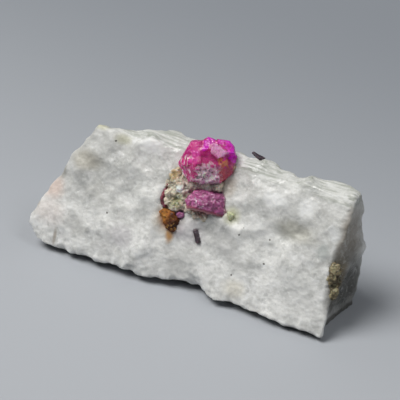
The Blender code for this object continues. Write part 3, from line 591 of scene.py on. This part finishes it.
def ruby_lower_finish():
    """Purplish pink corundum, frosted, with white flecks and a dark red line of painted shade along its
    overhanging lower face.
    """
    it = Finish(
        "frosted_ruby", IOR=1.7, Transmission_Weight=0.1, Subsurface_Weight=0.4,
        Subsurface_Scale=0.001, Subsurface_Radius=(1.0, 0.4, 0.6))
    away = ruby_axes(it, RUBY_LOWER_MIDDLE)
    height = it.parts_of(away)
    tone = it.limits(height["X"], -1.5, 2.0)
    colour = it.mixed(tone, (0.50, 0.085, 0.29), (0.38, 0.09, 0.24))
    patches = it.limits(it.noise(1.4, 4.0, shift=2.0, distortion=0.8), 0.44, 0.60)
    colour = it.tinted(colour, patches, 0.6, (0.62, 0.14, 0.40))
    dark = it.limits(it.noise(0.8, 4.0, shift=8.0, distortion=0.8), 0.53, 0.64)
    colour = it.tinted(colour, dark, 0.75, (0.15, 0.04, 0.08))
    # White flecks, thickest in the lower left part
    low_left = it.maths("MULTIPLY", it.limits(height["X"], 1.5, -1.5), it.limits(height["Y"], 2.2, 0.5))
    flecks = it.noise(0.55, 5.0, shift=5.0)
    flecks = it.maths("ADD", flecks, it.maths("MULTIPLY", low_left, 0.05))
    flecks = it.limits(flecks, 0.57, 0.66)
    colour = it.tinted(colour, flecks, 0.50, (0.88, 0.60, 0.76))
    glints = it.limits(it.noise(0.9, 3.0, shift=15.0), 0.63, 0.70)
    colour = it.tinted(colour, glints, low_left, (0.96, 0.88, 0.92))
    low = it.maths("ADD", height["Y"], it.maths("MULTIPLY", height["X"], 0.28))
    colour = it.mixed(it.limits(low, -1.62, -1.85, 0.0, 0.85), colour, (0.84, 0.62, 0.57))
    colour = it.mixed(it.limits(height["X"], 3.35, 3.75, 0.0, 0.55), colour, (0.86, 0.58, 0.66))
    # Painted shade: a dark red line along the overhanging lower face
    painted_lower_face_shade = it.maths("MULTIPLY", it.limits(low, -1.3, -1.6), it.limits(low, -2.3, -1.9))
    colour = it.tinted(colour, painted_lower_face_shade, 0.75, (0.30, 0.01, 0.05))
    # Painted shade in the low places of the relief
    colour = it.tinted(colour, it.raised_by(-0.03, -0.14), 0.6, (0.14, 0.02, 0.06))
    roughness = it.limits(flecks, 0.0, 1.0, 0.45, 0.28)
    normal = it.relief(it.noise(0.35, 4.0, shift=1.0), 0.08)
    normal = it.relief(it.cells(0.5, shift=3.0)["Distance"], 0.08, normal)
    return it.finish(colour, roughness, normal)


def small_ruby_finish(name, first, second, pale):
    """A chip or sliver of corundum with pale worn flecks."""
    it = Finish(name, IOR=1.7, Subsurface_Weight=0.25, Subsurface_Scale=0.0008)
    colour = it.mixed(it.limits(it.noise(0.8, 3.0), 0.38, 0.62), first, second)
    flecks = it.limits(it.noise(0.4, 3.0, shift=5.0), 0.58, 0.68)
    colour = it.tinted(colour, flecks, 0.7, pale)
    # Painted shade in the low places of the relief
    colour = it.tinted(colour, it.raised_by(-0.10, -0.25), 0.6, (0.05, 0.01, 0.02))
    roughness = it.limits(flecks, 0.0, 1.0, 0.34, 0.55)
    return it.finish(colour, roughness, it.relief(it.noise(0.35, 4.0, shift=1.0), 0.08))


# Crusts and grains

GLINT = Vector((-2.5, -0.5, 19.4))     # a glossy grain in the crust, with a painted white glint


def granules(place, width, height):
    """Round granules, side by side."""
    distance = noise.voronoi(place / width)[0][0]
    return height * (0.5 - distance)


def crust_relief(place):
    """Granules and flakes of the mica crust, grown a little over the joint with the stone."""
    glint = near(place, GLINT, (0.7, 0.7, 0.7))
    clusters = 0.50 * noise.noise(place * 0.9) + 0.25 * noise.noise(place * 2.1)
    flaky = 0.50 * broken(place, 0.8) + 0.30 * broken(place, 0.4) + granules(place, 0.45, 0.15)
    band = near(place, (2.0, 1.7, 20.3), (2.6, 1.6, 1.1)) * (0.45 + 0.8 * broken(place, 0.7))
    return 0.12 + band + (clusters + flaky) * (1 - glint) + 0.75 * glint


def iron_relief(place):
    """The brown grain is splintery, and grown a little over its joint."""
    return 0.20 + 0.45 * broken(place, 0.9) + 0.30 * broken(place, 0.4)


def pocket_relief(place):
    """Loose granules in the hollow of the right end."""
    clumps = 0.9 * noise.noise(place * 0.55)
    return 0.05 + clumps + granules(place, 0.55, 0.35) + 0.40 * broken(place, 0.8)


def tuft_relief(place):
    """Fine grains of green mica."""
    return 0.02 + granules(place, 0.40, 0.25) + 0.30 * broken(place, 0.6)


def flake_relief(place):
    """Small splintered faces."""
    return 0.20 * broken(place, 0.6) + 0.12 * broken(place, 0.3)


def grainy_finish(
        name, grain, tones, dark, spots=(), roughness=(0.75, 0.45), strength=0.5, hollow_shade_strength=0.75, glint=None):
    """Small grains in several tones, with dark places between them and painted shade in the low places of
    the relief.
    """
    it = Finish(name, IOR=1.5, Specular_IOR_Level=0.3, Subsurface_Weight=0.15, Subsurface_Scale=0.0006)
    cells = it.cells(grain, warp=0.7)
    tone = it.add("ShaderNodeSeparateColor", {"Color": cells["Color"]}).outputs
    patches = it.noise(grain * 3, 4.0, shift=2.0, distortion=0.6)
    colour = it.mixed(it.limits(patches, 0.44, 0.56), tones[0], tones[1])
    colour = it.spotted(colour, spots)
    pale = it.maths("MULTIPLY", it.limits(tone[1], 0.55, 0.75), it.limits(cells["Distance"], 0.6, 0.2))
    colour = it.tinted(colour, pale, 0.75, tones[2])
    between = it.limits(it.noise(grain * 0.9, 4.0, shift=6.0), 0.52, 0.66)
    colour = it.tinted(colour, between, strength, dark)
    # Painted shade in the low places of the relief
    colour = it.tinted(colour, it.raised_by(0.06, -0.10), hollow_shade_strength, dark)
    rough = it.limits(tone[2], 0.7, 0.9, *roughness)
    if glint:
        # Painted highlight: the glint is painted white, and its roughness is lowered
        gloss_and_painted_glint = it.spot(glint, (0.80, 1.2, 0.80), 0.25, 0.12, 0.8)
        colour = it.mixed(gloss_and_painted_glint, colour, (1.0, 1.0, 0.98))
        rough = it.maths("MULTIPLY_ADD", gloss_and_painted_glint, -0.5)
        rough.node.inputs[2].default_value = 0.65
    normal = it.relief(it.noise(grain * 0.5, 4.0, shift=1.0), 0.08)
    return it.finish(colour, rough, normal)


CRUST_SPOTS = [
    # Ochre at the top, green in the middle and low, cream at the left
    ((-4.6, 1.2, 21.3), (0.9, 1.6, 1.2), 0.75, (0.60, 0.40, 0.13)),
    ((-2.9, -1.5, 17.2), (1.3, 1.5, 1.5), 0.60, (0.34, 0.34, 0.17)),
    ((-3.2, -1.0, 16.2), (1.6, 1.4, 1.2), 0.55, (0.36, 0.37, 0.17)),
    ((-4.7, -1.4, 17.8), (1.0, 1.4, 1.8), 0.65, (0.88, 0.78, 0.64)),
    # Grey and pinkish in the band between the rubies and below the small one
    ((-1.4, 1.0, 19.9), (1.4, 1.8, 1.4), 0.60, (0.66, 0.55, 0.56)),
    ((2.0, 1.6, 20.1), (2.6, 1.8, 1.2), 0.75, (0.80, 0.72, 0.72)),
    ((1.4, -1.4, 15.1), (3.0, 1.2, 0.9), 0.75, (0.70, 0.58, 0.50)),
]


IRON_SPOTS = [
    # Amber at the top left, nearly black at the lower right: partly the grain's colour, partly painted light
    # at the top left and painted shade at the lower right
    ((-4.6, -2.9, 13.7), (1.2, 1.6, 1.2), 0.80, (0.50, 0.22, 0.04)),
    ((-2.4, -3.4, 12.4), (1.3, 1.8, 1.8), 0.85, (0.05, 0.018, 0.010)),
]


# Pieces

def dressed(node, voxel, rounds, relief, material):
    """Gives a node its fine surface and finish."""
    obj = fine_copy(node, voxel, rounds)
    raised(obj, relief)
    obj.data.materials.append(material)
    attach(obj, "root")
    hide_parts(node)
    return obj


ruby_main = dressed("ruby_main", CRYSTAL_VOXEL, 1, ruby_main_relief, ruby_main_finish())
ruby_lower = dressed(
    "ruby_lower", CRYSTAL_VOXEL, 1, ruby_lower_relief, ruby_lower_finish())
ruby_chip = dressed(
    "ruby_chip", GRAIN_VOXEL, 1, flake_relief,
    small_ruby_finish("purple_ruby", (0.24, 0.05, 0.16), (0.38, 0.12, 0.28), (0.56, 0.36, 0.48)))
ruby_sliver = dressed(
    "ruby_sliver", GRAIN_VOXEL, 1, flake_relief,
    small_ruby_finish("wine_red_ruby", (0.10, 0.015, 0.025), (0.30, 0.06, 0.10), (0.55, 0.38, 0.36)))
mica_crust = dressed(
    "mica_crust", GRAIN_VOXEL, 1, crust_relief,
    grainy_finish(
        "mica", 0.50, ((0.74, 0.66, 0.54), (0.56, 0.51, 0.38), (0.92, 0.88, 0.80)), (0.20, 0.17, 0.12),
        CRUST_SPOTS, strength=0.35, hollow_shade_strength=0.5, glint=GLINT))
iron_grain = dressed(
    "iron_stained_grain", GRAIN_VOXEL, 1, iron_relief,
    grainy_finish(
        "iron_stain", 0.6, ((0.26, 0.08, 0.015), (0.11, 0.03, 0.008), (0.58, 0.30, 0.08)),
        (0.03, 0.01, 0.006), IRON_SPOTS, strength=0.8))
green_tuft = dressed(
    "green_mica_tuft", GRAIN_VOXEL, 1, tuft_relief,
    grainy_finish(
        "green_mica", 0.5, ((0.64, 0.66, 0.42), (0.54, 0.57, 0.32), (0.80, 0.80, 0.64)),
        (0.38, 0.39, 0.22), strength=0.30, hollow_shade_strength=0.35))
pocket_crust = dressed(
    "brown_pocket_crust", GRAIN_VOXEL, 1, pocket_relief,
    grainy_finish(
        "brown_crust", 0.6, ((0.32, 0.28, 0.17), (0.18, 0.15, 0.09), (0.52, 0.46, 0.32)),
        (0.06, 0.05, 0.03), strength=0.7))
graphite = grainy_finish(
    "graphite", 0.5, ((0.08, 0.06, 0.07), (0.12, 0.09, 0.11), (0.28, 0.23, 0.27)), (0.03, 0.025, 0.03),
    roughness=(0.45, 0.25))
front_flake = dressed("graphite_flake_front", GRAIN_VOXEL, 2, flake_relief, graphite)
top_flake = dressed("graphite_flake_top", GRAIN_VOXEL, 2, flake_relief, graphite)

marble = dressed("marble_matrix", MARBLE_VOXEL, 3, marble_relief, marble_finish())
close_gap(marble, [
    ruby_main, ruby_lower, ruby_chip, ruby_sliver, mica_crust, iron_grain, green_tuft, pocket_crust,
    front_flake, top_flake,
])


# Floor, light and camera

def floor():
    """A plain pale floor, far larger than the view, painted darker towards the back as falloff of the light.
    """
    shape = bmesh.new()
    bmesh.ops.create_grid(shape, x_segments=1, y_segments=1, size=FLOOR_REACH)
    mesh = bpy.data.meshes.new("floor")
    shape.to_mesh(mesh)
    shape.free()
    obj = bpy.data.objects.new("floor", mesh)
    bpy.context.scene.collection.objects.link(obj)
    it = Finish("floor", Roughness=0.9, Specular_IOR_Level=0.1)
    # Painted light falloff: darker towards the back
    painted_light_falloff = it.limits(it.parts_of(it.place)["Y"], *FLOOR_PAINTED_FALLOFF)
    it.feed(it.shader.inputs["Base Color"], it.mixed(painted_light_falloff, FLOOR_FRONT, FLOOR_BACK))
    mesh.materials.append(it.material)


def lamp(name, place, size, power, colour):
    """A soft square light that looks at the stone. Its place is in metres."""
    data = bpy.data.lights.new(name, "AREA")
    data.size = size
    data.energy = power
    data.color = colour
    obj = bpy.data.objects.new(name, data)
    obj.location = place
    obj.rotation_euler = (VIEW_TARGET * MM - place).to_track_quat("-Z", "Y").to_euler()
    bpy.context.scene.collection.objects.link(obj)


floor()
lamp("key", Vector((-0.42, -0.24, 1.0)), 0.60, 11.2, (1.0, 0.99, 0.97))
lamp("right", Vector((0.60, 0.05, 0.90)), 0.35, 1.9, (0.98, 0.99, 1.0))

world = bpy.data.worlds.new("studio")
bpy.context.scene.world = world
world.use_nodes = True
sky = world.node_tree.nodes
way = sky.new("ShaderNodeTexCoord")
rise = sky.new("ShaderNodeSeparateXYZ")
shade = sky.new("ShaderNodeMapRange")
shade.inputs["From Min"].default_value = SKY_START
shade.inputs["To Max"].default_value = SKY_STRENGTH
world.node_tree.links.new(way.outputs["Generated"], rise.inputs[0])
world.node_tree.links.new(rise.outputs["Z"], shade.inputs["Value"])
world.node_tree.links.new(shade.outputs["Result"], sky["Background"].inputs["Strength"])
sky["Background"].inputs["Color"].default_value = SKY_COLOUR

camera_data = bpy.data.cameras.new("camera")
camera_data.lens = LENS
camera_data.clip_start = CLIP_START
camera = bpy.data.objects.new("camera", camera_data)
camera.location = (VIEW_TARGET + VIEW_DISTANCE * OUT) * MM
camera.rotation_euler = (-OUT).to_track_quat("-Z", "Y").to_euler()
bpy.context.scene.collection.objects.link(camera)
bpy.context.scene.camera = camera
bpy.context.scene.view_settings.view_transform = "Standard"
